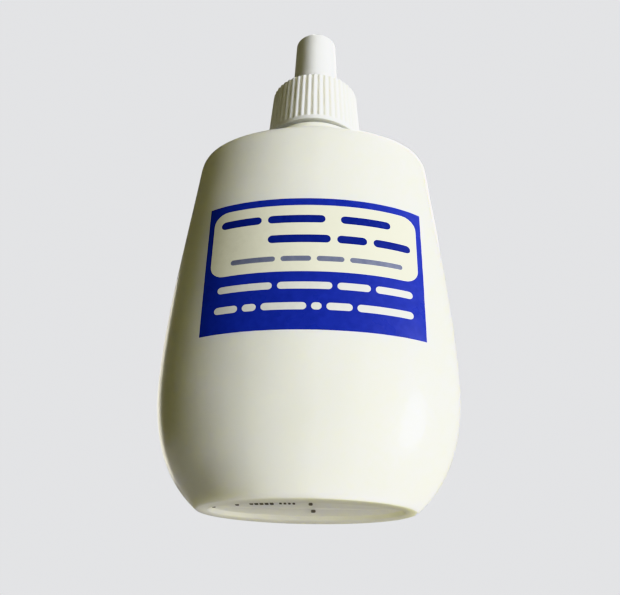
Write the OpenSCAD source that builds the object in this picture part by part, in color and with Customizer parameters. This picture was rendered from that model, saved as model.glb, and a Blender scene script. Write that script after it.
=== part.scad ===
// Squeeze bottle for lens cleaning fluid, with a ribbed screw cap over a spray nozzle.
// Millimetres. +Z runs up the bottle, the label faces -Y, and the origin is the centre of the base.

/* [Bottle] */
// Largest width of the bottle, low on the body
bottle_width = 66.8; // [62:0.2:72]
// Largest depth of the bottle, front to back
bottle_depth = 36; // [33:0.5:40]
// Height of the body, from the base to the underside of the neck collar
body_height = 90; // [86:0.5:94]
// Wall thickness of the body
bottle_wall = 1.2; // [0.9:0.1:1.4]
// Depth of the recess in the base
base_recess = 0.8; // [0.4:0.1:1]
// Width of the rim that the bottle stands on, at its left and right
base_rim_side = 1.8; // [1.6:0.1:3]
// Width of the rim at its front and back
base_rim_front = 4; // [2:0.1:4.4]
// Height that the fluid stands to
fill_height = 62; // [30:1:75]

/* [Neck] */
// Diameter of the collar on the shoulder
collar_diameter = 24; // [23:0.2:24.6]
// Height of the collar
collar_height = 1.4; // [1:0.1:2]
// Diameter of the neck between its threads
neck_diameter = 17.2; // [17:0.1:17.3]
// Length of the neck above the collar
neck_length = 11.8; // [11.4:0.1:12.4]
// Bore of the neck
neck_bore = 14.4; // [13.6:0.2:14.6]
// Rise of the screw thread in one turn
thread_pitch = 3.2; // [3:0.1:3.4]
// Turns of thread on the neck
neck_turns = 1.4; // [1:0.1:1.4]
// Turns of thread in the cap
cap_turns = 1.35; // [1:0.05:1.35]

/* [Cap] */
// Diameter of the cap at its lower rim
cap_diameter = 24; // [23.8:0.1:25]
// Diameter of the cap at its upper rim
cap_top_diameter = 21.8; // [21.6:0.1:22.4]
// Height of the ribbed skirt, from the lower rim to the upper one
skirt_height = 15; // [14.8:0.1:15.6]
// Gap between the collar and the cap
cap_gap = 1.1; // [0.8:0.1:1.4]
// Number of grip ribs
rib_count = 48; // [36:1:60]
// Height of a grip rib
rib_height = 0.4; // [0.2:0.05:0.5]
// Plain band under the ribs
plain_band = 1; // [0.6:0.1:1.6]
// Diameter of the tip at its foot
tip_foot_diameter = 11.4; // [11.2:0.1:12]
// Diameter of the tip at its top
tip_top_diameter = 10.5; // [10.4:0.1:11]
// Height of the whole object
total_height = 127; // [126:0.5:129]
// Radius of the hollow curve between the cap and its tip
tip_fillet = 6.5; // [5.5:0.1:6.6]

/* [Spray fitment] */
// Thickness of the plug's flange on the neck rim
flange_thickness = 1.2; // [1:0.1:1.2]
// Thickness of the foam washer
washer_thickness = 1.2; // [1:0.1:1.2]
// Depth of the plug in the neck
plug_depth = 7; // [5:0.5:8]
// Bore of the nozzle tower
tower_bore = 5.6; // [5.2:0.1:5.8]
// Diameter of the spray hole
spray_hole = 1.2; // [1.1:0.1:1.4]
// Outside diameter of the dip tube
tube_diameter = 3.2; // [3:0.1:3.4]
// Bore of the dip tube
tube_bore = 2.1; // [1.8:0.1:2.2]
// Height of the dip tube's lower end above the base
tube_foot = 4; // [3:0.5:8]

/* [Label] */
// Half width of the label, seen from the front
label_half_width = 24.1; // [20:0.1:25]
// Height of the label's lower edge
label_low = 33.4; // [30:0.2:40]
// Height of the label's upper edge
label_high = 66.2; // [55:0.2:70]
// Shift of the label to the right of centre
label_shift = 0.9; // [-1.5:0.1:1.5]
// Thickness of the label film
label_thickness = 0.12; // [0.08:0.01:0.2]

/* [Hidden] */
$fn = 72;

// Heights of the stack, from the shoulder up
collar_top = body_height + collar_height;
cap_bottom = collar_top + cap_gap;
cap_rim = cap_bottom + skirt_height;
neck_top = collar_top + neck_length;
flange_top = neck_top + flange_thickness;
deck_height = flange_top + washer_thickness;

// Radii
neck_r = neck_diameter / 2;
bore_r = neck_bore / 2;
cap_r = cap_diameter / 2;
cap_top_r = cap_top_diameter / 2;
tip_foot_r = tip_foot_diameter / 2;
tip_top_r = tip_top_diameter / 2;
tube_r = tube_diameter / 2;
tower_bore_r = tower_bore / 2;
spray_hole_r = spray_hole / 2;

// Outline of the body: four cubic curves end to end, three points a curve, from the base's
// edge up. A point is a share of the half width, the half depth and the body's height.
outline = [
  [0.668, 0.745, 0], [0.686, 0.770, 0], [0.686, 0.770, 0],
  [0.706, 0.800, 0.0065], [0.905, 0.955, 0.072], [1, 1, 0.173],
  [1, 1, 0.303], [1, 1, 0.478], [0.908, 0.944, 0.710],
  [0.850, 0.842, 0.919], [0.827, 0.802, 1], [0.716, 0.727, 0.979]
];
// The last point is round, just outside the collar
shoulder_r = collar_diameter / 2 + 0.5;
outer_points = concat([for (p = outline) [p[0] * bottle_width / 2, p[1] * bottle_depth / 2,
                                          p[2] * body_height]],
                      [[shoulder_r, shoulder_r, body_height]]);
// Rings in each curve
ring_steps = [4, 9, 12, 10];
outer_sides = 64;
inner_sides = 48;

// Fits and clearances
overlap = 0.6;
label_gap = 0.03;
fluid_gap = 0.15;
tube_clearance = 0.05;

// Thread section: half widths at the buried foot and at the crest
thread_bury = 0.5;
thread_foot_half = 0.95;
thread_crest_half = 0.4;
neck_thread_height = 0.85;
cap_thread_height = 0.75;
thread_fade_turns = 0.12;
steps_per_turn = 36;
// Height of the neck thread's lower end, and how far the cap's thread lies below it in mesh
neck_thread_start = neck_top - 6.4;
thread_mesh_drop = 1.15;
cap_thread_start_turn = -0.5;
cap_thread_wall_r = neck_r + 1.15;
cap_thread_zone_top = neck_top - 0.7;
washer_room_r = neck_r + 0.7;

// Nozzle tower of the plug
tower_foot_r = 3.9;
tower_top_r = 3.7;
tower_top = flange_top + 17.2;
tower_roof = 1.2;
insert_top = tower_top - tower_roof;
insert_height = 10.4;
socket_depth = 4;
tube_top = insert_top - insert_height + socket_depth;

// Point at t on a cubic curve with control points p
function cubic(p, t) = pow(1 - t, 3) * p[0] + 3 * pow(1 - t, 2) * t * p[1]
                     + 3 * (1 - t) * t * t * p[2] + pow(t, 3) * p[3];

// Rings of a body outline, each as half width, half depth and height
function rings(points) = concat(
  [for (k = [0:len(ring_steps) - 1]) for (i = [0:ring_steps[k] - 1])
    cubic([for (m = [0:3]) points[3 * k + m]], i / ring_steps[k])],
  [points[len(points) - 1]]);

// An outline moved in by one wall all round, and up over the recess in the base
function inset(points, wall) = [for (p = points)
  [p[0] - wall, p[1] - wall,
    base_recess + wall + p[2] * (body_height - base_recess - 2 * wall) / body_height]];

// The rings up to a height, closed by one at that height
function rings_below(all, height) = concat(
  [for (r = all) if (r[2] < height) r],
  [[lookup(height, [for (r = all) [r[2], r[0]]]), lookup(height, [for (r = all) [r[2], r[1]]]),
    height]]);

// The recess: its flat ceiling, then its sloping wall down to the rim
foot = outer_points[0];
recess_rings = [for (p = [base_recess, 0])
  [foot[0] - base_rim_side - p, foot[1] - base_rim_front - p, p]];
outer_rings = concat(recess_rings, rings(outer_points));
inner_rings = rings(inset(outer_points, bottle_wall));
fluid_rings = rings_below(rings(inset(outer_points, bottle_wall + fluid_gap)), fill_height);

// Solid through a stack of elliptical rings
module loft(all, sides) {
  points = [for (r = all) for (j = [0:sides - 1])
    [r[0] * cos(360 * j / sides), r[1] * sin(360 * j / sides), r[2]]];
  bands = len(all) - 1;
  faces = concat(
    [[for (j = [0:sides - 1]) j]],
    [[for (j = [sides - 1:-1:0]) bands * sides + j]],
    [for (i = [0:bands - 1]) for (j = [0:sides - 1])
      let (a = i * sides + j, b = i * sides + (j + 1) % sides)
      for (f = [[a, a + sides, b + sides], [a, b + sides, b]]) f]);
  polyhedron(points = points, faces = faces, convexity = 4);
}

// Helical thread from one turn number to another, at the given height where the turn is 0.
// The foot radius is buried in the wall and the crest fades into the wall at both ends.
module thread(wall_r, crest_r, first, last, height) {
  steps = ceil((last - first) * steps_per_turn);
  side = sign(crest_r - wall_r);
  foot_r = wall_r - side * thread_bury;
  hidden_r = wall_r - side * thread_bury / 4;
  points = [for (i = [0:steps])
    let (u = first + (last - first) * i / steps,
         grow = min(1, (u - first) / thread_fade_turns, (last - u) / thread_fade_turns),
         crest = hidden_r + (crest_r - hidden_r) * grow,
         z = height + thread_pitch * u)
    for (q = [[foot_r, -thread_foot_half], [crest, -thread_crest_half],
              [crest, thread_crest_half], [foot_r, thread_foot_half]])
      [q[0] * cos(360 * u), q[0] * sin(360 * u), z + q[1]]];
  sides = [for (i = [0:steps - 1]) for (k = [0:3])
    let (a = 4 * i + k, b = 4 * i + (k + 1) % 4)
    for (f = [[a, a + 4, b + 4], [a, b + 4, b]]) f];
  ends = [[3, 2, 1, 0], [for (k = [0:3]) 4 * steps + k]];
  faces = [for (f = concat(sides, ends)) side > 0 ? [for (k = [len(f) - 1:-1:0]) f[k]] : f];
  polyhedron(points = points, faces = faces, convexity = 8);
}

// Blow-moulded bottle: body, collar and threaded neck, hollow throughout
module bottle() {
  color([0.93, 0.93, 0.88])
  difference() {
    union() {
      loft(outer_rings, outer_sides);
      translate([0, 0, body_height - overlap])
        cylinder(h = collar_height + overlap, r = collar_diameter / 2);
      translate([0, 0, body_height]) cylinder(h = neck_top - body_height, r = neck_r);
      thread(neck_r, neck_r + neck_thread_height, 0, neck_turns, neck_thread_start);
    }
    loft(inner_rings, inner_sides);
    translate([0, 0, body_height - bottle_wall - overlap])
      cylinder(h = bottle_wall + overlap + collar_height, r1 = shoulder_r - 2 * bottle_wall,
               r2 = bore_r);
    translate([0, 0, body_height]) cylinder(h = neck_top, r = bore_r);
  }
}

// Printed film stuck on the front of the body
module front_label() {
  columns = 36;
  rows = 14;
  shape = rings(outer_points);
  wide = [for (r = shape) [r[2], r[0]]];
  deep = [for (r = shape) [r[2], r[1]]];
  // The inner face, then the outer one, row by row from the lower edge
  points = [for (out = [label_gap, label_gap + label_thickness]) for (i = [0:rows])
    for (j = [0:columns])
      let (x = label_shift + label_half_width * (2 * j / columns - 1),
           z = label_low + (label_high - label_low) * i / rows,
           share = x / (lookup(z, wide) + out))
      [x, -(lookup(z, deep) + out) * sqrt(1 - share * share), z]];
  line = columns + 1;
  layer = line * (rows + 1);
  surfaces = [for (i = [0:rows - 1]) for (j = [0:columns - 1])
    let (a = i * line + j, b = a + 1, c = a + line, d = c + 1)
    for (f = [[a, b, d], [a, d, c], [layer + a, layer + d, layer + b],
              [layer + a, layer + c, layer + d]]) f];
  level_edges = [for (j = [0:columns - 1]) let (t = rows * line)
    for (f = [[j, layer + j + 1, j + 1], [j, layer + j, layer + j + 1],
              [t + j, t + j + 1, layer + t + j + 1], [t + j, layer + t + j + 1, layer + t + j]]) f];
  upright_edges = [for (i = [0:rows - 1]) let (a = i * line, b = a + line, e = columns)
    for (f = [[a, b, layer + b], [a, layer + b, layer + a],
              [a + e, layer + b + e, b + e], [a + e, layer + a + e, layer + b + e]]) f];
  color([0.13, 0.18, 0.62])
    polyhedron(points = points, faces = concat(surfaces, level_edges, upright_edges),
               convexity = 4);
}

// Plug pressed into the neck, with a flange on the rim and a hollow nozzle tower
module spray_plug() {
  skirt_wall = 1.1;
  deck = 1.2;
  lead_in = 0.5;
  color([0.95, 0.95, 0.93])
  difference() {
    rotate_extrude() polygon([
      [tower_bore_r, neck_top], [bore_r - skirt_wall, neck_top],
      [bore_r - skirt_wall, neck_top - plug_depth],
      [bore_r - lead_in, neck_top - plug_depth], [bore_r, neck_top - plug_depth + 2 * lead_in],
      [bore_r, neck_top], [neck_r, neck_top], [neck_r, flange_top],
      [tower_foot_r, flange_top], [tower_top_r, tower_top - lead_in],
      [tower_top_r - lead_in, tower_top], [0, tower_top], [0, insert_top],
      [tower_bore_r, insert_top]
    ]);
    translate([0, 0, insert_top - deck]) cylinder(h = 2 * deck + tower_roof, r = spray_hole_r);
  }
}

// Insert in the tower: a socket for the dip tube, a fluid bore, and slots that let air past
module jet_insert() {
  slots = 4;
  slot_width = 0.9;
  slot_depth = 0.55;
  chamber_r = 1.5;
  chamber_depth = 0.6;
  bottom = insert_top - insert_height;
  color([0.85, 0.88, 0.9])
  difference() {
    translate([0, 0, bottom]) cylinder(h = insert_height, r = tower_bore_r);
    translate([0, 0, bottom - 1]) cylinder(h = socket_depth + 1, r = tube_r);
    translate([0, 0, bottom]) cylinder(h = insert_height + 1, r = spray_hole_r);
    translate([0, 0, insert_top - chamber_depth]) cylinder(h = 1, r = chamber_r);
    for (k = [0:slots - 1]) rotate(360 * k / slots) {
      translate([tower_bore_r - slot_depth, -slot_width / 2, bottom - 1])
        cube([1, slot_width, insert_height + 2]);
      translate([0, chamber_r - slot_width, insert_top - chamber_depth])
        cube([tower_bore_r, slot_width, 1]);
    }
  }
}

// Tube from the insert down to the bottom of the bottle, cut at a slant
module dip_tube() {
  slant_size = 4 * tube_diameter;
  color([0.9, 0.9, 0.88])
  difference() {
    translate([0, 0, tube_foot]) cylinder(h = tube_top - tube_foot, r = tube_r);
    translate([0, 0, tube_foot - 1]) cylinder(h = tube_top, r = tube_bore / 2);
    translate([tube_r, 0, tube_foot]) rotate([0, 45, 0])
      translate([-slant_size, -slant_size / 2, -slant_size]) cube(slant_size);
  }
}

// Fluid in the bottle, up to its level, around the dip tube
module cleaning_fluid() {
  color([0.75, 0.86, 0.92])
  difference() {
    loft(fluid_rings, inner_sides);
    translate([0, 0, tube_foot - tube_clearance])
      cylinder(h = fill_height, r = tube_r + tube_clearance);
  }
}

// Foam washer between the plug's flange and the inside of the cap
module cap_seal_ring() {
  ring_bore_r = 6.2;
  color([0.97, 0.97, 0.97])
  translate([0, 0, flange_top]) difference() {
    cylinder(h = washer_thickness, r = washer_room_r - 0.1);
    translate([0, 0, -1]) cylinder(h = washer_thickness + 2, r = ring_bore_r);
  }
}

// Skirt with a plain lower band and ribs that run up to the upper rim
module ribbed_skirt() {
  rib_share = 0.55;
  crest_share = 0.3;
  pitch = 360 / rib_count;
  ribbed_height = skirt_height - plain_band;
  foot_r = cap_r - 0.05;
  valley = (foot_r - rib_height) / foot_r;
  star = [for (k = [0:rib_count - 1])
    for (q = [[-rib_share, valley], [-crest_share, 1], [crest_share, 1], [rib_share, valley]])
      let (a = (k + q[0] / 2) * pitch) foot_r * q[1] * [cos(a), sin(a)]];
  translate([0, 0, cap_bottom]) cylinder(h = plain_band, r = cap_r);
  translate([0, 0, cap_bottom + plain_band])
    linear_extrude(height = ribbed_height, scale = cap_top_r / foot_r) polygon(star);
}

// Cap outside above the ribs: a hollow curve up to the tip, and the tip's rounded end
module cap_crown() {
  sweep = 70;
  edge = 0.9;
  dome = 0.3;
  arc_height = cap_rim + 6.7;
  arc_steps = 14;
  rotate_extrude() polygon(concat(
    [[0, cap_rim - overlap], [cap_top_r - rib_height, cap_rim - overlap],
     [cap_top_r - rib_height, cap_rim]],
    [for (i = [0:arc_steps]) let (a = 180 + sweep * (1 - i / arc_steps))
      [tip_foot_r + tip_fillet * (1 + cos(a)), arc_height + tip_fillet * sin(a)]],
    [for (i = [0:6]) let (a = 15 * i)
      [tip_top_r - edge * (1 - cos(a)), total_height - dome - edge * (1 - sin(a))]],
    [[0, total_height]]));
}

// Hollow of the cap: thread zone, washer room, and the bore of the tip
module cap_hollow() {
  throat_r = 6;
  throat_height = 4;
  tip_wall = 1.15;
  roof = 1.6;
  rotate_extrude() polygon([
    [0, cap_bottom - 1], [cap_thread_wall_r + 0.5, cap_bottom - 1],
    [cap_thread_wall_r, cap_bottom + 0.5],
    [cap_thread_wall_r, cap_thread_zone_top], [washer_room_r, cap_thread_zone_top + 0.3],
    [washer_room_r, deck_height], [throat_r, deck_height],
    [tip_foot_r - tip_wall, deck_height + throat_height],
    [tip_top_r - tip_wall + 0.05, total_height - roof], [0, total_height - roof]
  ]);
}

// Pin that closes the spray hole when the cap is down
module closing_pin() {
  pin_r = spray_hole_r - 0.15;
  pin_foot_r = 1.2;
  pin_root = total_height - 1;
  pin_end = tower_top - 0.7;
  translate([0, 0, pin_end]) cylinder(h = pin_root - pin_end, r = pin_r);
  translate([0, 0, tower_top + 1.4])
    cylinder(h = pin_root - tower_top - 1.4, r1 = pin_r, r2 = pin_foot_r);
}

// Screw cap in one piece, with its inside thread
module screw_cap() {
  color([0.92, 0.92, 0.86]) {
    difference() {
      union() {
        ribbed_skirt();
        cap_crown();
      }
      cap_hollow();
    }
    thread(cap_thread_wall_r, cap_thread_wall_r - cap_thread_height, cap_thread_start_turn,
           cap_thread_start_turn + cap_turns, neck_thread_start - thread_mesh_drop);
    closing_pin();
  }
}

bottle();
front_label();
spray_plug();
jet_insert();
dip_tube();
cleaning_fluid();
cap_seal_ring();
screw_cap();
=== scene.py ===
"""Looks of the oval squeeze bottle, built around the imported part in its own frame.

Shapes are worked out in millimetres, from the CAD boxes and the named sizes below, and become metres
as each mesh is made. +Z runs up the bottle, the label faces -Y.
"""
import math

import bmesh
import bpy
from mathutils import Matrix, Vector


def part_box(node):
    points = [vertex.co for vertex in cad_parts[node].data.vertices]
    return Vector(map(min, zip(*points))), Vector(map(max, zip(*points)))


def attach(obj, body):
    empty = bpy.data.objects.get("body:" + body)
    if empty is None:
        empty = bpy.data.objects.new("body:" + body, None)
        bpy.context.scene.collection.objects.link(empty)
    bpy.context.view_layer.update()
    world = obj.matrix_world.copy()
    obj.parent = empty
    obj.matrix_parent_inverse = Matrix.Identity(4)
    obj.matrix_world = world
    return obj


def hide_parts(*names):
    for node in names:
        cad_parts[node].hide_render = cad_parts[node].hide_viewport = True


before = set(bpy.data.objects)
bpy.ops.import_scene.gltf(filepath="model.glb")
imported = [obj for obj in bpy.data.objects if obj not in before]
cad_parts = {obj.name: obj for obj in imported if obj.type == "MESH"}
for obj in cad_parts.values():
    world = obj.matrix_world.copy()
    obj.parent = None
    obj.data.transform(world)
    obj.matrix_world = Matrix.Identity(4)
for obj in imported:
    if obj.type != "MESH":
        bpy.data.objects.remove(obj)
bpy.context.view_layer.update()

MM = 0.001
TURN = 2 * math.pi


def box_mm(node):
    """Lowest and highest corner of a CAD node, in millimetres."""
    low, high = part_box(node)
    return low / MM, high / MM


bottle_low, bottle_high = box_mm("bottle")
cap_low, cap_high = box_mm("screw_cap")
label_low, label_high = box_mm("front_label")
plug_low, plug_high = box_mm("spray_plug")
tube_low, tube_high = box_mm("dip_tube")
fluid_low, fluid_high = box_mm("cleaning_fluid")
seal_low, seal_high = box_mm("cap_seal_ring")

# Bottle
HALF_WIDTH = bottle_high.x
HALF_DEPTH = bottle_high.y
BODY_HEIGHT = 90
BOTTLE_WALL = 1.2
SEAM_TOP = BODY_HEIGHT - 1
SEAM_HEIGHT = 0.1
SEAM_HALF = 0.5
SEAM_FADE = 3
BASE_RECESS = 0.8
BASE_RIM_SIDE = 1.8
BASE_RIM_FRONT = 4
PINCH_HEIGHT = 0.18
PINCH_HALF = 0.35
PINCH_FADE = 1.5
COLLAR_RADIUS = 12
COLLAR_TOP = BODY_HEIGHT + 1.4
NECK_TOP = bottle_high.z
NECK_RADIUS = 8.6
NECK_BORE_RADIUS = 7.2
SHOULDER_RADIUS = COLLAR_RADIUS + 0.5
THROAT_RADIUS = SHOULDER_RADIUS - 2 * BOTTLE_WALL
BOTTLE_SIDES = 256

# Four cubic curves from the base's edge up, each point a share of half width, half depth and height.
# The last curve ends at the shoulder's radius.
OUTLINE = [
    (0.668, 0.745, 0), (0.686, 0.770, 0), (0.686, 0.770, 0),
    (0.706, 0.800, 0.0065), (0.905, 0.955, 0.072), (1, 1, 0.173),
    (1, 1, 0.303), (1, 1, 0.478), (0.908, 0.944, 0.710),
    (0.850, 0.842, 0.919), (0.827, 0.802, 1), (0.716, 0.727, 0.979),
]
# How many rings of points each curve gets
OUTSIDE_STEPS = (8, 30, 36, 30)
INSIDE_STEPS = (5, 16, 20, 18)

# Screw threads, as on the part. Start is a thread's height where its first whole turn begins, and
# first and last are its ends. They and the fade are counted in turns.
PITCH = 3.2
THREAD_FADE = 0.12
THREAD_CREST_HALF = 0.4
THREAD_RING_STEP = 0.14
NECK_THREAD = {"start": NECK_TOP - 6.4, "first": 0, "last": 1.4, "foot_half": 0.746, "height": 0.85}
CAP_THREAD = {"start": NECK_TOP - 7.55, "first": -0.5, "last": 0.85, "foot_half": 0.73, "height": 0.75}

# Cap
CAP_BOTTOM = cap_low.z
CAP_TOP = cap_high.z
CAP_RADIUS = cap_high.x
CAP_RIM = CAP_BOTTOM + 15
CAP_RIM_RADIUS = 10.9
BAND_HEIGHT = 1
BAND_TOP = CAP_BOTTOM + BAND_HEIGHT
BAND_STEP = 0.05
RIB_COUNT = 48
RIB_HEIGHT = 0.4
RIB_FOOT_RADIUS = CAP_RADIUS - BAND_STEP
RIB_START_HEIGHT = 0.3
RIB_END_HEIGHT = 0.35
CAP_SIDES = RIB_COUNT * 8
CROWN_RADIUS = 6.5
CROWN_CENTRE = CAP_RIM + 6.7
CROWN_SWEEP = math.radians(70)
TIP_FOOT_RADIUS = 5.7
TIP_TOP_RADIUS = 5.25
TIP_EDGE = 0.9
TIP_DOME = 0.3
TIP_BORE_RADIUS = 4.15
TIP_ROOF = CAP_TOP - 1.6
PIN_RADIUS = 0.45
CAP_WALL_RADIUS = 9.75
WASHER_ROOM_RADIUS = 9.3

# Label
LABEL_LEFT = label_low.x
LABEL_RIGHT = label_high.x
LABEL_BOTTOM = label_low.z
LABEL_TOP = label_high.z
LABEL_GAP = 0.03 - SEAM_HEIGHT
LABEL_THICKNESS = 0.12
INK_THICKNESS = 0.012
PANEL_LEFT = LABEL_LEFT + 1.2
PANEL_RIGHT = LABEL_RIGHT - 1.3
PANEL_BOTTOM = LABEL_BOTTOM + 13.7
PANEL_TOP = LABEL_TOP - 1.9
PANEL_CORNER = 3.2

# Inner pieces
SPRAY_HOLE_RADIUS = 0.6
TUBE_WALL = 0.55
INNER_SIDES = 96

# Camera: its place, its turns in radians, and its lens
CAMERA_PLACE = (2.893, -166.318, -31.657)
CAMERA_YAW = -0.0185
CAMERA_PITCH = 0.4536
CAMERA_ROLL = 0.021
CAMERA_LENS = 45.85
CAMERA_SENSOR = 36

# Soft distant lights: azimuth, elevation, strength, width in degrees, colour.
# Azimuth 0 comes from the front, and 90 from the right.
LIGHT_DISTANCE = 0.5
LIGHTS = {
    "key": (58, 4, 4.15, 20, (0.955, 0.97, 1)),
    "beside_key": (36, 8, 0.52, 30, (1, 0.97, 0.7)),
    "overhead": (90, 60, 0.6, 30, (1, 0.98, 0.92)),
    "back_top": (165, 45, 2.1, 30, (1, 0.985, 0.95)),
    "back_left": (215, 14, 0.5, 30, (1, 0.96, 0.85)),
    "from_below": (80, -60, 1.6, 40, (1, 0.97, 0.90)),
}

# Floor
FLOOR_DROP = 0.02
FLOOR_RADII = (20, 80, 400, 2000, 9000)
FLOOR_SIDES = 96


# ---------------------------------------------------------------- mesh helpers

def cubic(points, t):
    """Point at t on a cubic curve."""
    weights = ((1 - t) ** 3, 3 * (1 - t) ** 2 * t, 3 * (1 - t) * t * t, t ** 3)
    return tuple(sum(w * p[k] for w, p in zip(weights, points)) for k in range(3))


def smooth(x):
    """Smooth step from 0 to 1."""
    x = min(1, max(0, x))
    return x * x * (3 - 2 * x)


def mesh_piece(name, bm, sharp_angle=38):
    """Object from a mesh in millimetres, smooth shaded but for its sharp edges."""
    same_point = 1e-5
    bmesh.ops.remove_doubles(bm, verts=bm.verts, dist=same_point)
    bmesh.ops.scale(bm, vec=(MM, MM, MM), verts=bm.verts)
    mesh = bpy.data.meshes.new(name)
    bm.to_mesh(mesh)
    bm.free()
    mesh.shade_smooth()
    mesh.set_sharp_from_angle(angle=math.radians(sharp_angle))
    piece = bpy.data.objects.new(name, mesh)
    bpy.context.scene.collection.objects.link(piece)
    return piece


def add_loft(bm, rings, ends=True):
    """Skin through rings of points. A point closes each end, or else the last ring joins the first."""
    rows = [[bm.verts.new(p) for p in ring] for ring in rings]
    sides = len(rings[0])
    pairs = list(zip(rows, rows[1:]))
    if not ends:
        pairs.append((rows[-1], rows[0]))
    for low, high in pairs:
        for j in range(sides):
            k = (j + 1) % sides
            bm.faces.new((low[j], low[k], high[k], high[j]))
    if ends:
        for row, order in ((rows[0], -1), (rows[-1], 1)):
            centre = bm.verts.new(sum((v.co for v in row), Vector()) / sides)
            for j in range(sides):
                corners = (row[j], row[(j + 1) % sides], centre)
                bm.faces.new(corners[::order])


def loft_piece(name, rings, ends=True, sharp_angle=38):
    """Piece with one skin through rings of points."""
    bm = bmesh.new()
    add_loft(bm, rings, ends)
    return mesh_piece(name, bm, sharp_angle)


def oval(rx, ry, z, sides, push=None):
    """Ring of points; push gives how far out each one moves, by its angle."""
    ring = []
    for j in range(sides):
        angle = TURN * j / sides
        out = push(angle) if push else 0
        ring.append(((rx + out) * math.cos(angle), (ry + out) * math.sin(angle), z))
    return ring


def circle(r, z, sides, push=None):
    """Round ring of points."""
    return oval(r, r, z, sides, push)


def rounded(profile):
    """A profile of (radius, height, rounding) points, with each corner turned by an arc-like curve."""
    result = []
    count = len(profile)
    steps = 5
    for i, (r, z, rounding) in enumerate(profile):
        here = Vector((r, z))
        if not rounding:
            result.append((r, z))
            continue
        before = Vector(profile[i - 1][:2]) - here
        after = Vector(profile[(i + 1) % count][:2]) - here
        start = here + before.normalized() * min(rounding, before.length * 0.49)
        end = here + after.normalized() * min(rounding, after.length * 0.49)
        for k in range(steps + 1):
            t = k / steps
            point = start * (1 - t) ** 2 + here * 2 * t * (1 - t) + end * t * t
            result.append((point.x, point.y))
    return result


def thread_push(thread, z, inward=False):
    """How far the thread stands off its wall at height z, by angle."""
    def push(angle):
        height = 0
        for whole in (-1, 0, 1, 2):
            turn = whole + angle / TURN
            if not thread["first"] <= turn <= thread["last"]:
                continue
            distance = abs(z - thread["start"] - PITCH * turn)
            slope = thread["foot_half"] - THREAD_CREST_HALF
            flank = smooth((thread["foot_half"] - distance) / slope)
            to_end = min(turn - thread["first"], thread["last"] - turn)
            height = max(height, flank * min(1, to_end / THREAD_FADE) * thread["height"])
        return -height if inward else height
    return push


# ---------------------------------------------------------------- the body's surface

def body_points(wall=0):
    """Control points of the body's outline, moved in by a wall and then up over the recess."""
    top = BODY_HEIGHT - wall
    bottom = BASE_RECESS + wall if wall else 0
    points = [(x * HALF_WIDTH - wall, y * HALF_DEPTH - wall, bottom + z * (top - bottom))
              for x, y, z in OUTLINE]
    points.append((SHOULDER_RADIUS - wall, SHOULDER_RADIUS - wall, top))
    return points


def body_rings(wall, steps):
    """Half width, half depth and height of rings up the body."""
    points = body_points(wall)
    rings = []
    for k, count in enumerate(steps):
        curve = points[3 * k:3 * k + 4]
        rings += [cubic(curve, i / count) for i in range(count)]
    return rings + [points[-1]]


SECTION_HALVINGS = 40
SECTION_STEP = 0.25


def body_section(z):
    """Half width and half depth of the body at a height between the base's edge and the shoulder."""
    points = body_points()
    for k in (1, 2, 3):
        curve = points[3 * k:3 * k + 4]
        if curve[0][2] <= z <= curve[3][2]:
            low, high = 0, 1
            for _ in range(SECTION_HALVINGS):
                middle = (low + high) / 2
                if cubic(curve, middle)[2] < z:
                    low = middle
                else:
                    high = middle
            return cubic(curve, low)[:2]
    raise ValueError("no body section at that height")


# Sections of the body behind the label, a step apart
SECTIONS = [body_section(LABEL_BOTTOM + i * SECTION_STEP)
            for i in range(int((LABEL_TOP - LABEL_BOTTOM) / SECTION_STEP) + 2)]


def on_body(x, z, out):
    """Point on the front of the body, a distance out from it."""
    row = (z - LABEL_BOTTOM) / SECTION_STEP
    i = min(len(SECTIONS) - 2, max(0, int(row)))
    t = row - i
    rx, ry = (SECTIONS[i][k] * (1 - t) + SECTIONS[i + 1][k] * t for k in (0, 1))
    share = x / (rx + out)
    return (x, -(ry + out) * math.sqrt(1 - share * share), z)


# ---------------------------------------------------------------- material helpers

def node_maker(tree):
    """A short way to add a node to a tree, with its inputs set or linked."""
    def node(kind, inputs=None, **settings):
        made = tree.nodes.new(kind)
        for key, value in settings.items():
            setattr(made, key, value)
        for key, value in (inputs or {}).items():
            if isinstance(value, bpy.types.NodeSocket):
                tree.links.new(value, made.inputs[key])
            else:
                made.inputs[key].default_value = value
        return made
    return node


def new_material(name):
    """A node material with its principled shader, and short ways to add a node and to link the shader."""
    material = bpy.data.materials.new(name)
    material.use_nodes = True
    tree = material.node_tree
    shader = tree.nodes["Principled BSDF"]

    def link(output, key):
        tree.links.new(output, shader.inputs[key])
    return material, shader, node_maker(tree), link


def set_sockets(shader, values):
    """Sets the shader's own sockets."""
    for key, value in values.items():
        shader.inputs[key].default_value = value


def noise(node, scale, detail, stretch=(1, 1, 1)):
    """Noise in the piece's own coordinates: scale is in cells a metre, and stretch works on each axis."""
    coordinates = node("ShaderNodeTexCoord")
    mapping = node("ShaderNodeMapping", {"Vector": coordinates.outputs["Object"], "Scale": stretch})
    made = node("ShaderNodeTexNoise", {"Vector": mapping.outputs["Vector"], "Scale": scale, "Detail": detail})
    return made.outputs["Fac"]


def spread(node, value, low, high):
    """Noise, most of which lies between 0.3 and 0.7, moved to a new range."""
    made = node("ShaderNodeMapRange", {"Value": value, "From Min": 0.3, "From Max": 0.7,
                                       "To Min": low, "To Max": high})
    return made.outputs["Result"]


def blend_colours(node, factor, first, second):
    """One colour fading to another."""
    made = node("ShaderNodeMix", {"Factor": factor, "A": (*first, 1), "B": (*second, 1)}, data_type="RGBA")
    return made.outputs["Result"]


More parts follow.
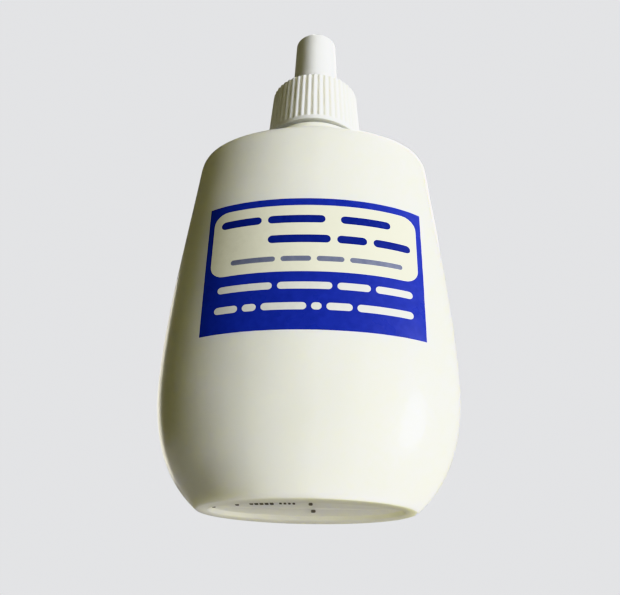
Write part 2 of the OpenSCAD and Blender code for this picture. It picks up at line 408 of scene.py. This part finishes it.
def bumps(node, layers):
    """Bump nodes in a row, each with its height, strength and depth in metres."""
    normal = None
    for height, strength, depth in layers:
        inputs = {"Height": height, "Strength": strength, "Distance": depth}
        if normal:
            inputs["Normal"] = normal
        normal = node("ShaderNodeBump", inputs).outputs["Normal"]
    return normal


# ---------------------------------------------------------------- materials

def soft_plastic(name, colour, tint, scatter, scatter_colour, roughness, gloss=0.1):
    """Milky moulded plastic: slight clouding, drawn streaks, fine grain, faint waves and a thin gloss.

    Scatter is how deep light spreads in it, in metres, and scatter_colour each colour's share of that.
    """
    material, shader, node, link = new_material(name)
    clouds = noise(node, 55, 4)
    scuffs = noise(node, 150, 3, (1, 1, 0.5))
    waves = noise(node, 60, 1)
    streaks = noise(node, 900, 2, (1, 1, 0.03))
    grain = noise(node, 3500, 3)
    link(blend_colours(node, spread(node, clouds, 0, 1), colour, tint), "Base Color")
    link(spread(node, scuffs, roughness, roughness + 0.04), "Roughness")
    link(bumps(node, [(waves, 0.35, 0.0009), (streaks, 0.12, 0.00008), (grain, 0.18, 0.00005)]), "Normal")
    shader.subsurface_method = "BURLEY"
    set_sockets(shader, {"Subsurface Weight": 1, "Subsurface Radius": scatter_colour,
                         "Subsurface Scale": scatter, "IOR": 1.5, "Specular IOR Level": 0.35,
                         "Coat Weight": gloss, "Coat Roughness": 0.12})
    return material


def printed_film(name, colour, tint, roughness=0.28):
    """Ink on a smooth film: slight unevenness of the ink and a faint ripple of the film."""
    material, shader, node, link = new_material(name)
    ink = noise(node, 700, 5)
    handling = noise(node, 160, 4)
    ripple = noise(node, 90, 2)
    grain = noise(node, 5200, 2)
    link(blend_colours(node, spread(node, ink, 0, 1), colour, tint), "Base Color")
    link(spread(node, handling, roughness - 0.05, roughness + 0.1), "Roughness")
    link(bumps(node, [(ripple, 0.2, 0.0005), (grain, 0.1, 0.00003)]), "Normal")
    set_sockets(shader, {"IOR": 1.48, "Specular IOR Level": 0.2})
    return material


def foam_material(name):
    """Closed-cell foam: small round cells in the surface."""
    material, shader, node, link = new_material(name)
    coordinates = node("ShaderNodeTexCoord")
    cells = node("ShaderNodeTexVoronoi", {"Vector": coordinates.outputs["Object"], "Scale": 2600})
    clouds = noise(node, 400, 3)
    link(blend_colours(node, spread(node, clouds, 0, 1), (0.86, 0.86, 0.84), (0.76, 0.76, 0.73)),
         "Base Color")
    link(spread(node, clouds, 0.75, 0.95), "Roughness")
    link(bumps(node, [(cells.outputs["Distance"], 0.6, 0.0001)]), "Normal")
    return material


def fluid_material(name):
    """Clear, thin fluid with faint swirls."""
    material, shader, node, link = new_material(name)
    swirl = noise(node, 70, 3)
    link(blend_colours(node, spread(node, swirl, 0, 1), (0.90, 0.96, 0.98), (0.84, 0.93, 0.97)),
         "Base Color")
    link(spread(node, swirl, 0.01, 0.04), "Roughness")
    link(bumps(node, [(swirl, 0.1, 0.0002)]), "Normal")
    set_sockets(shader, {"Transmission Weight": 1, "IOR": 1.34})
    return material


bottle_plastic = soft_plastic("bottle_plastic", (0.88, 0.885, 0.86), (0.86, 0.865, 0.825),
                              scatter=0.006, scatter_colour=(1.0, 0.95, 0.2), roughness=0.3, gloss=0.3)
cap_plastic = soft_plastic("cap_plastic", (0.85, 0.86, 0.89), (0.81, 0.82, 0.85),
                           scatter=0.0014, scatter_colour=(1.0, 0.95, 0.7), roughness=0.38)
plug_plastic = soft_plastic("plug_plastic", (0.85, 0.85, 0.82), (0.81, 0.81, 0.78),
                            scatter=0.001, scatter_colour=(1.0, 0.95, 0.8), roughness=0.4)
insert_plastic = soft_plastic("insert_plastic", (0.80, 0.82, 0.83), (0.75, 0.77, 0.79),
                              scatter=0.0006, scatter_colour=(1.0, 0.95, 0.9), roughness=0.3)
tube_plastic = soft_plastic("tube_plastic", (0.84, 0.85, 0.82), (0.78, 0.79, 0.76),
                            scatter=0.001, scatter_colour=(1.0, 0.97, 0.85), roughness=0.3)
label_blue = printed_film("label_blue", (0.030, 0.043, 0.35), (0.036, 0.051, 0.41))
label_cream = printed_film("label_cream", (0.86, 0.86, 0.75), (0.83, 0.83, 0.72))
ink_blue = printed_film("ink_blue", (0.018, 0.026, 0.22), (0.026, 0.036, 0.27))
ink_grey = printed_film("ink_grey", (0.17, 0.19, 0.30), (0.22, 0.24, 0.35))
ink_white = printed_film("ink_white", (0.80, 0.81, 0.80), (0.74, 0.75, 0.75))
ink_code = printed_film("ink_code", (0.06, 0.055, 0.05), (0.14, 0.13, 0.12), 0.5)
foam = foam_material("foam")
fluid = fluid_material("fluid")


def place(piece, material, body, node=None):
    """Gives a piece its material and its body, and hides the CAD node it stands for."""
    piece.data.materials.append(material)
    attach(piece, body)
    if node:
        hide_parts(node)


# ---------------------------------------------------------------- bottle

def seam_push(z):
    """The body lies just under its outline but at the mould's parting lines, left and right."""
    depth = SEAM_HEIGHT * smooth(z / SEAM_FADE) * smooth((SEAM_TOP - z) / SEAM_FADE)

    def push(angle):
        across = HALF_DEPTH * abs(math.sin(angle))
        return -depth * (1 - math.exp(-(across / SEAM_HALF) ** 2))
    return push


def base_rings():
    """Recess from its middle out, with the pinched seam across it, and then its edge."""
    foot = body_points()[0]
    recess = (foot[0] - BASE_RIM_SIDE, foot[1] - BASE_RIM_FRONT)
    ceiling = (recess[0] - BASE_RECESS, recess[1] - BASE_RECESS)
    count = 18
    rings = []
    for k in range(1, count + 1):
        share = k / count
        ring = []
        for x, y, z in oval(ceiling[0] * share, ceiling[1] * share, BASE_RECESS, BOTTLE_SIDES):
            along = smooth((ceiling[0] - PINCH_FADE - abs(x)) / PINCH_FADE)
            ring.append((x, y, z - PINCH_HEIGHT * along * math.exp(-(y / PINCH_HALF) ** 2)))
        rings.append(ring)
    edge = 0.12
    corners = ((ceiling, edge, BASE_RECESS - edge / 2), (recess, -edge, edge), (recess, edge, 0))
    rings += [oval(rx + out, ry + out, z, BOTTLE_SIDES) for (rx, ry), out, z in corners]
    return rings


def neck_rings():
    """Collar, neck with its thread, mouth, and the bore down to the throat."""
    corner = 0.3
    collar = rounded([(SHOULDER_RADIUS, BODY_HEIGHT, 0), (COLLAR_RADIUS + 0.02, BODY_HEIGHT, 0.15),
                      (COLLAR_RADIUS, COLLAR_TOP, 0.35), (NECK_RADIUS, COLLAR_TOP, corner),
                      (NECK_RADIUS, NECK_TOP, 0)])
    mouth = rounded([(NECK_RADIUS, COLLAR_TOP, 0), (NECK_RADIUS, NECK_TOP, corner),
                     (NECK_BORE_RADIUS, NECK_TOP, corner), (NECK_BORE_RADIUS, NECK_TOP - 1, 0)])
    # The body's top ring and the thread's rings stand for the ends that are left off here
    rings = [circle(r, z, BOTTLE_SIDES) for r, z in collar[1:-1]]
    z = COLLAR_TOP + 0.5
    while z < NECK_TOP - corner - 0.05:
        rings.append(circle(NECK_RADIUS, z, BOTTLE_SIDES, thread_push(NECK_THREAD, z)))
        z += THREAD_RING_STEP
    rings += [circle(r, z, BOTTLE_SIDES) for r, z in mouth[1:]]
    rings += [circle(NECK_BORE_RADIUS, z, BOTTLE_SIDES) for z in (NECK_TOP - 4, COLLAR_TOP + 2, COLLAR_TOP)]
    return rings


def inside_rings():
    """Inside of the body, from the throat down to the middle of its floor."""
    inside = body_rings(BOTTLE_WALL, INSIDE_STEPS)
    rings = [circle(THROAT_RADIUS, BODY_HEIGHT - BOTTLE_WALL - 0.2, BOTTLE_SIDES)]
    rings += [oval(rx, ry, z, BOTTLE_SIDES) for rx, ry, z in reversed(inside)]
    rx, ry, z = inside[0]
    rings += [oval(rx * share, ry * share, z, BOTTLE_SIDES) for share in (0.6, 0.2)]
    return rings


def make_bottle():
    """Blow-moulded shell in one skin: recess, rim, body, collar, threaded neck, and the inside."""
    outside = [oval(rx, ry, z, BOTTLE_SIDES, seam_push(z)) for rx, ry, z in body_rings(0, OUTSIDE_STEPS)]
    shell = loft_piece("bottle_shell", base_rings() + outside + neck_rings() + inside_rings())
    place(shell, bottle_plastic, "bottle", "bottle")


def make_base_code():
    """Row of generic printed dots and dashes in the recess of the base, along its front."""
    ink = 0.02
    sides = 20
    stretch = 3.2

    def squared(share):
        """Pushes a point of a circle towards a square's side."""
        return math.copysign(abs(share) ** 0.6, share)

    outline = [(squared(math.cos(TURN * j / sides)), squared(math.sin(TURN * j / sides)))
               for j in range(sides)]
    # Each mark's middle and half width
    marks = [(-19.4, -0.6, 0.5), (-14.2, -2.8, 0.42)]
    marks += [(-11.2 + 1.05 * k, -3.8 - 0.08 * k, 0.4) for k in range(5)]
    marks += [(-5.2 + 0.9 * k, -4.5, 0.28) for k in range(4)]
    marks += [(0.9, -4.2, 0.42), (1.4, 3.0, 0.5)]
    bm = bmesh.new()
    for x, y, half in marks:
        add_loft(bm, [[(x + half * a, y + stretch * half * b, BASE_RECESS + side) for a, b in outline]
                      for side in (-ink, ink)])
    place(mesh_piece("base_code_marks", bm), ink_code, "bottle")


# ---------------------------------------------------------------- label

def rounded_rows(left, right, bottom, top, radius, rows=24, corner_steps=6):
    """Heights with their left and right ends, for a rectangle with round corners."""
    corners = []
    for k in range(corner_steps + 1):
        a = TURN / 4 * k / corner_steps
        corners.append((radius * (1 - math.cos(a)), radius * (1 - math.sin(a))))
    inner = top - bottom - 2 * radius
    lower = [(bottom + rise, left + inset, right - inset) for rise, inset in corners]
    sides = [(bottom + radius + inner * k / rows, left, right) for k in range(1, rows)]
    upper = [(top - rise, left + inset, right - inset) for rise, inset in reversed(corners)]
    return lower + sides + upper


def add_patch(bm, rows, out, thickness, column_width=0.8):
    """Thin solid on the front of the body, from rows of (height, left, right)."""
    widest = max(right - left for _, left, right in rows)
    columns = max(2, math.ceil(widest / column_width))
    layers = []
    for offset in (out, out + thickness):
        layers.append([[bm.verts.new(on_body(left + (right - left) * j / columns, z, offset))
                        for j in range(columns + 1)] for z, left, right in rows])
    inner, outer = layers
    for i in range(len(rows) - 1):
        for j in range(columns):
            bm.faces.new((outer[i][j], outer[i][j + 1], outer[i + 1][j + 1], outer[i + 1][j]))
            bm.faces.new((inner[i][j], inner[i + 1][j], inner[i + 1][j + 1], inner[i][j + 1]))
        bm.faces.new((inner[i][0], outer[i][0], outer[i + 1][0], inner[i + 1][0]))
        bm.faces.new((inner[i][-1], inner[i + 1][-1], outer[i + 1][-1], outer[i][-1]))
    for j in range(columns):
        bm.faces.new((inner[0][j], inner[0][j + 1], outer[0][j + 1], outer[0][j]))
        bm.faces.new((inner[-1][j], outer[-1][j], outer[-1][j + 1], inner[-1][j + 1]))


def place_print(piece, material, node=None):
    """Places a film or an ink. It casts no shadow, which would show as a halo in the milky wall."""
    piece.visible_shadow = False
    place(piece, material, "bottle", node)


def make_label():
    """Blue film with a pale panel, and plain bars where the print would be."""
    film = bmesh.new()
    rows = 40
    add_patch(film, [(LABEL_BOTTOM + (LABEL_TOP - LABEL_BOTTOM) * i / rows, LABEL_LEFT, LABEL_RIGHT)
                     for i in range(rows + 1)], LABEL_GAP, LABEL_THICKNESS)
    place_print(mesh_piece("label_film", film), label_blue, "front_label")

    panel_out = LABEL_GAP + LABEL_THICKNESS
    panel = bmesh.new()
    add_patch(panel, rounded_rows(PANEL_LEFT, PANEL_RIGHT, PANEL_BOTTOM, PANEL_TOP, PANEL_CORNER),
              panel_out, INK_THICKNESS)
    place_print(mesh_piece("label_panel", panel), label_cream)

    # Each kind's material and thickness, then its lines: the height of the line's middle above the
    # label's lower edge, and the ends of its bars along the label
    prints = {
        "label_bars_bold": (ink_blue, 2.0, [
            (27.2, ((-20.2, -11.0), (-9.6, 3.2), (6.6, 17.8))),
            (22.0, ((-9.4, 4.4), (5.8, 12.4), (13.8, 22.2)))]),
        "label_bars_thin": (ink_grey, 1.3, [
            (16.9, ((-17.4, -7.6), (-6.4, 0.2), (1.4, 7.4), (8.6, 20.2)))]),
        "label_bars_white": (ink_white, 1.7, [
            (10.3, ((-19.9, -8.0), (-6.9, 4.8), (5.9, 13.0), (14.1, 22.2))),
            (5.4, ((-20.3, -15.2), (-14.2, -11.2), (-10.2, -0.6), (0.4, 2.6), (3.6, 9.1), (10.1, 22.2)))]),
    }
    for name, (material, thickness, lines) in prints.items():
        bm = bmesh.new()
        for height, bars in lines:
            z = LABEL_BOTTOM + height
            for left, right in bars:
                bar = rounded_rows(left, right, z - thickness / 2, z + thickness / 2,
                                   radius=thickness * 0.49, rows=1, corner_steps=5)
                add_patch(bm, bar, panel_out + INK_THICKNESS, INK_THICKNESS, column_width=0.5)
        place_print(mesh_piece(name, bm), material)


# ---------------------------------------------------------------- cap

def rib(angle):
    """From 0 in a groove to 1 on a rib's crest."""
    wave = 0.5 + 0.5 * math.cos(RIB_COUNT * angle)
    groove_end = 0.1
    crest_start = 0.75
    return smooth((wave - groove_end) / (crest_start - groove_end))


def ribbed(r, z, depth):
    """Ring of the skirt: grooves of a depth between the ribs."""
    return circle(r, z, CAP_SIDES, lambda angle: -depth * (1 - rib(angle)))


def skirt_rings():
    """Lower rim, plain band, and the ribs with their rounded upper ends."""
    rim = rounded([(CAP_WALL_RADIUS + 0.5, CAP_BOTTOM, 0.2), (CAP_RADIUS, CAP_BOTTOM, 0.25),
                   (CAP_RADIUS, BAND_TOP, 0)])
    rings = [circle(r, z, CAP_SIDES) for r, z in rim]
    rings.append(circle(CAP_RADIUS - 0.02, BAND_TOP + BAND_STEP, CAP_SIDES))
    start = BAND_TOP + BAND_STEP + RIB_START_HEIGHT
    start_rows = 4
    for k in range(1, start_rows + 1):
        t = k / start_rows
        rings.append(ribbed(RIB_FOOT_RADIUS, start - RIB_START_HEIGHT * (1 - t), RIB_HEIGHT * smooth(t)))
    rows = 16
    end = CAP_RIM - RIB_END_HEIGHT
    slope = (CAP_RIM_RADIUS - RIB_FOOT_RADIUS) / (CAP_RIM - BAND_TOP)
    for k in range(1, rows + 1):
        z = start + (end - start) * k / rows
        rings.append(ribbed(RIB_FOOT_RADIUS + slope * (z - BAND_TOP), z, RIB_HEIGHT))
    end_rows = 6
    for k in range(1, end_rows + 1):
        a = TURN / 4 * k / end_rows
        r = CAP_RIM_RADIUS - 0.3 * (1 - math.cos(a))
        rings.append(ribbed(r, end + RIB_END_HEIGHT * math.sin(a), RIB_HEIGHT * (1 - 0.25 * k / end_rows)))
    return rings


def crown_rings():
    """Hollow curve from the skirt up to the tip's foot."""
    step = 0.02
    rings = [circle(CAP_RIM_RADIUS - RIB_HEIGHT - step, CAP_RIM + step, CAP_SIDES)]
    rows = 22
    for k in range(rows + 1):
        a = math.pi + CROWN_SWEEP * (1 - k / rows)
        rings.append(circle(TIP_FOOT_RADIUS + CROWN_RADIUS * (1 + math.cos(a)),
                            CROWN_CENTRE + CROWN_RADIUS * math.sin(a), CAP_SIDES))
    return rings


def tip_rings():
    """Tapered tip with a rounded edge and a slight dome. The last ring has no width and merges to a point."""
    end = CAP_TOP - TIP_DOME - TIP_EDGE
    rows = 6
    rings = []
    for k in range(1, rows):
        t = k / rows
        rings.append(circle(TIP_FOOT_RADIUS + (TIP_TOP_RADIUS - TIP_FOOT_RADIUS) * t,
                            CROWN_CENTRE + (end - CROWN_CENTRE) * t, CAP_SIDES))
    edge_rows = 8
    for k in range(edge_rows + 1):
        a = TURN / 4 * k / edge_rows
        rings.append(circle(TIP_TOP_RADIUS - TIP_EDGE * (1 - math.cos(a)), end + TIP_EDGE * math.sin(a),
                            CAP_SIDES))
    top = TIP_TOP_RADIUS - TIP_EDGE
    for share in (0.8, 0.55, 0.3, 0.1, 0):
        rings.append(circle(top * share, CAP_TOP - TIP_DOME * share * share, CAP_SIDES))
    return rings


def hollow_rings():
    """Inside of the cap: the pin from its end up, the tip's bore, the washer's room and the thread."""
    pin_end = plug_high.z - 0.7
    deck = seal_high.z
    pin = [(PIN_RADIUS - 0.2, pin_end), (PIN_RADIUS, pin_end + 0.15), (PIN_RADIUS, plug_high.z + 1.4),
           (PIN_RADIUS + 0.6, TIP_ROOF - 0.1), (PIN_RADIUS + 0.85, TIP_ROOF)]
    bore = [(TIP_BORE_RADIUS - 0.3, TIP_ROOF), (TIP_BORE_RADIUS, TIP_ROOF - 0.3),
            (TIP_BORE_RADIUS + 0.2, deck + 12), (TIP_BORE_RADIUS + 0.4, deck + 4),
            (6, deck + 0.02), (6.3, deck)]
    washer_room = [(WASHER_ROOM_RADIUS - 0.2, deck), (WASHER_ROOM_RADIUS, deck - 0.2),
                   (WASHER_ROOM_RADIUS, NECK_TOP - 0.4), (CAP_WALL_RADIUS, NECK_TOP - 0.7)]
    rings = [circle(r, z, CAP_SIDES) for r, z in pin + bore + washer_room]
    rows = 46
    top = NECK_TOP - 0.85
    bottom = CAP_BOTTOM + 0.6
    for k in range(rows + 1):
        z = top + (bottom - top) * k / rows
        rings.append(circle(CAP_WALL_RADIUS, z, CAP_SIDES, thread_push(CAP_THREAD, z, inward=True)))
    return rings


def make_cap():
    """Cap in one skin, from the pin's end down the inside, round the lower rim and up to the tip's top."""
    shell = loft_piece("cap_shell", hollow_rings() + skirt_rings() + crown_rings() + tip_rings())
    place(shell, cap_plastic, "cap", "screw_cap")


# ---------------------------------------------------------------- inner pieces

def lathe(name, profile):
    """Ring-shaped piece from a closed profile of (radius, height, rounding), outside up and inside down."""
    return loft_piece(name, [circle(r, z, INNER_SIDES) for r, z in rounded(profile)], ends=False)


def make_plug():
    """Nozzle fitment: a skirt in the neck, a flange on its rim, and a tower with the spray hole."""
    roof = plug_high.z - 1.2
    flange_radius = plug_high.x
    socket = 2.8
    bore = 6.1
    tower_foot = 3.9
    tower_top = 3.2
    profile = [
        (SPRAY_HOLE_RADIUS, plug_high.z, 0.15), (SPRAY_HOLE_RADIUS, roof, 0), (socket, roof, 0.1),
        (socket, NECK_TOP, 0), (bore, NECK_TOP, 0.3), (bore, plug_low.z, 0.2),
        (NECK_BORE_RADIUS - 0.5, plug_low.z, 0.1), (NECK_BORE_RADIUS, plug_low.z + 1, 0.2),
        (NECK_BORE_RADIUS, NECK_TOP, 0), (flange_radius, NECK_TOP, 0.1), (flange_radius, seal_low.z, 0.25),
        (tower_foot, seal_low.z, 0.4), (tower_top + 0.5, plug_high.z - 0.5, 0.2),
        (tower_top, plug_high.z, 0.2)]
    place(lathe("spray_plug_body", profile), plug_plastic, "bottle", "spray_plug")


def make_tube():
    """Dip tube with a slant cut at its lower end."""
    outer = tube_high.x
    bore = outer - TUBE_WALL
    above_cut = tube_low.z + 2 * outer + 0.5
    sides = 48

    def slanted(r):
        """Ring on the slant cut."""
        return [(x, y, tube_low.z + outer - x) for x, y, _ in circle(r, 0, sides)]

    rings = [slanted(outer), circle(outer, above_cut, sides), circle(outer, tube_high.z, sides),
             circle(bore, tube_high.z, sides), circle(bore, above_cut, sides), slanted(bore)]
    tube = loft_piece("dip_tube_body", rings, ends=False)
    place(tube, tube_plastic, "bottle", "dip_tube")


def make_washer():
    """Foam washer that rises with the cap."""
    inner = 6.2
    outer = seal_high.x
    rounding = 0.15
    profile = [(inner, seal_low.z, rounding), (outer, seal_low.z, rounding),
               (outer, seal_high.z, rounding), (inner, seal_high.z, rounding)]
    place(lathe("seal_washer", profile), foam, "cap_seal", "cap_seal_ring")


def dress_insert():
    """The jet insert stays the CAD node, with a better material."""
    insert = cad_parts["jet_insert"]
    insert.data.materials.clear()
    insert.data.materials.append(insert_plastic)


def make_fluid():
    """Fluid up to its level, a little higher at the wall and at the tube."""
    level = fluid_high.z
    creep = 0.5
    sides = 128
    wall_gap = 0.15
    tube_gap = tube_high.x + 0.05
    below = [p for p in body_rings(BOTTLE_WALL + wall_gap, INSIDE_STEPS) if p[2] < level - 0.6]
    rx, ry, z = below[0]
    rings = [oval(rx * share, ry * share, z, sides) for share in (0.35, 0.7)]
    rings += [oval(rx, ry, z, sides) for rx, ry, z in below]
    rx, ry, z = below[-1]
    for inset, drop in ((0.18, 0), (0.62, 0.22), (1.32, 0.4), (2.32, creep)):
        rings.append(oval(rx - inset, ry - inset, level - drop, sides))
    rings += [oval(rx * share, ry * share, level - creep, sides) for share in (0.7, 0.35)]
    round_tube = ((tube_gap + 0.5, level - creep + 0.05), (tube_gap, level - creep + 0.3),
                  (tube_gap, tube_low.z - 0.05))
    rings += [circle(r, z, sides) for r, z in round_tube]
    body = loft_piece("fluid_body", rings, sharp_angle=60)
    place(body, fluid, "bottle", "cleaning_fluid")


# ---------------------------------------------------------------- stage

def make_camera():
    """Camera low in front, looking up at the bottle."""
    across = math.cos(CAMERA_PITCH)
    forward = Vector((math.sin(CAMERA_YAW) * across, math.cos(CAMERA_YAW) * across, math.sin(CAMERA_PITCH)))
    level_right = Vector((math.cos(CAMERA_YAW), -math.sin(CAMERA_YAW), 0))
    level_up = level_right.cross(forward)
    right = level_right * math.cos(CAMERA_ROLL) + level_up * math.sin(CAMERA_ROLL)
    up = level_up * math.cos(CAMERA_ROLL) - level_right * math.sin(CAMERA_ROLL)
    data = bpy.data.cameras.new("camera")
    data.lens = CAMERA_LENS
    data.sensor_width = CAMERA_SENSOR
    data.clip_start = 0.01
    camera = bpy.data.objects.new("camera", data)
    camera.matrix_world = (Matrix.Translation(Vector(CAMERA_PLACE) * MM)
                           @ Matrix((right, up, -forward)).transposed().to_4x4())
    bpy.context.scene.collection.objects.link(camera)
    bpy.context.scene.camera = camera


def make_light(name, azimuth, elevation, strength, width, colour):
    """Soft distant light, shining at the origin."""
    data = bpy.data.lights.new(name, "SUN")
    data.angle = math.radians(width)
    data.energy = strength
    data.color = colour
    a = math.radians(azimuth)
    e = math.radians(elevation)
    away = Vector((math.sin(a) * math.cos(e), -math.cos(a) * math.cos(e), math.sin(e)))
    light = bpy.data.objects.new(name, data)
    light.matrix_world = (Matrix.Translation(away * LIGHT_DISTANCE)
                          @ away.to_track_quat("Z", "Y").to_matrix().to_4x4())
    bpy.context.scene.collection.objects.link(light)


def make_floor():
    """Pale floor that shows its upper side only, lets light through from below and bounces little."""
    bm = bmesh.new()
    rings = [[bm.verts.new(p) for p in circle(radius, -FLOOR_DROP, FLOOR_SIDES)] for radius in FLOOR_RADII]
    bm.faces.new(rings[0])
    for low, high in zip(rings, rings[1:]):
        for j in range(FLOOR_SIDES):
            k = (j + 1) % FLOOR_SIDES
            bm.faces.new((low[j], high[j], high[k], low[k]))
    floor = mesh_piece("floor", bm)
    material, shader, node, link = new_material("floor_paint")
    tree = material.node_tree
    mottle = noise(node, 30, 3)
    pale = blend_colours(node, spread(node, mottle, 0, 1), (0.84, 0.84, 0.88), (0.81, 0.81, 0.85))
    path = node("ShaderNodeLightPath")
    dim = (0.18, 0.17, 0.08, 1)
    bounced = node("ShaderNodeMix", {"Factor": path.outputs["Is Diffuse Ray"], "A": pale, "B": dim},
                   data_type="RGBA")
    link(bounced.outputs["Result"], "Base Color")
    set_sockets(shader, {"Roughness": 0.8})
    side = node("ShaderNodeNewGeometry")
    through = node("ShaderNodeMath", {0: side.outputs["Backfacing"], 1: path.outputs["Is Shadow Ray"]},
                   operation="MAXIMUM")
    clear = node("ShaderNodeBsdfTransparent")
    mix = node("ShaderNodeMixShader", {0: through.outputs["Value"], 1: shader.outputs["BSDF"],
                                       2: clear.outputs["BSDF"]})
    tree.links.new(mix.outputs["Shader"], tree.nodes["Material Output"].inputs["Surface"])
    floor.data.materials.append(material)


def make_world():
    """Pale studio surround: brighter to look at than the light it gives."""
    world = bpy.data.worlds.new("studio")
    bpy.context.scene.world = world
    world.use_nodes = True
    tree = world.node_tree
    node = node_maker(tree)
    seen = tree.nodes["Background"]
    set_sockets(seen, {"Color": (0.82, 0.825, 0.84, 1)})
    given = node("ShaderNodeBackground", {"Color": (1, 0.95, 0.66, 1), "Strength": 0.1})
    path = node("ShaderNodeLightPath")
    mix = node("ShaderNodeMixShader", {0: path.outputs["Is Camera Ray"], 1: given.outputs["Background"],
                                       2: seen.outputs["Background"]})
    tree.links.new(mix.outputs["Shader"], tree.nodes["World Output"].inputs["Surface"])


make_camera()
make_world()
make_floor()
for light_name, settings in LIGHTS.items():
    make_light(light_name, *settings)
bpy.context.scene.view_settings.view_transform = "Khronos PBR Neutral"

make_bottle()
make_base_code()
make_label()
make_cap()
make_plug()
make_tube()
make_washer()
dress_insert()
make_fluid()
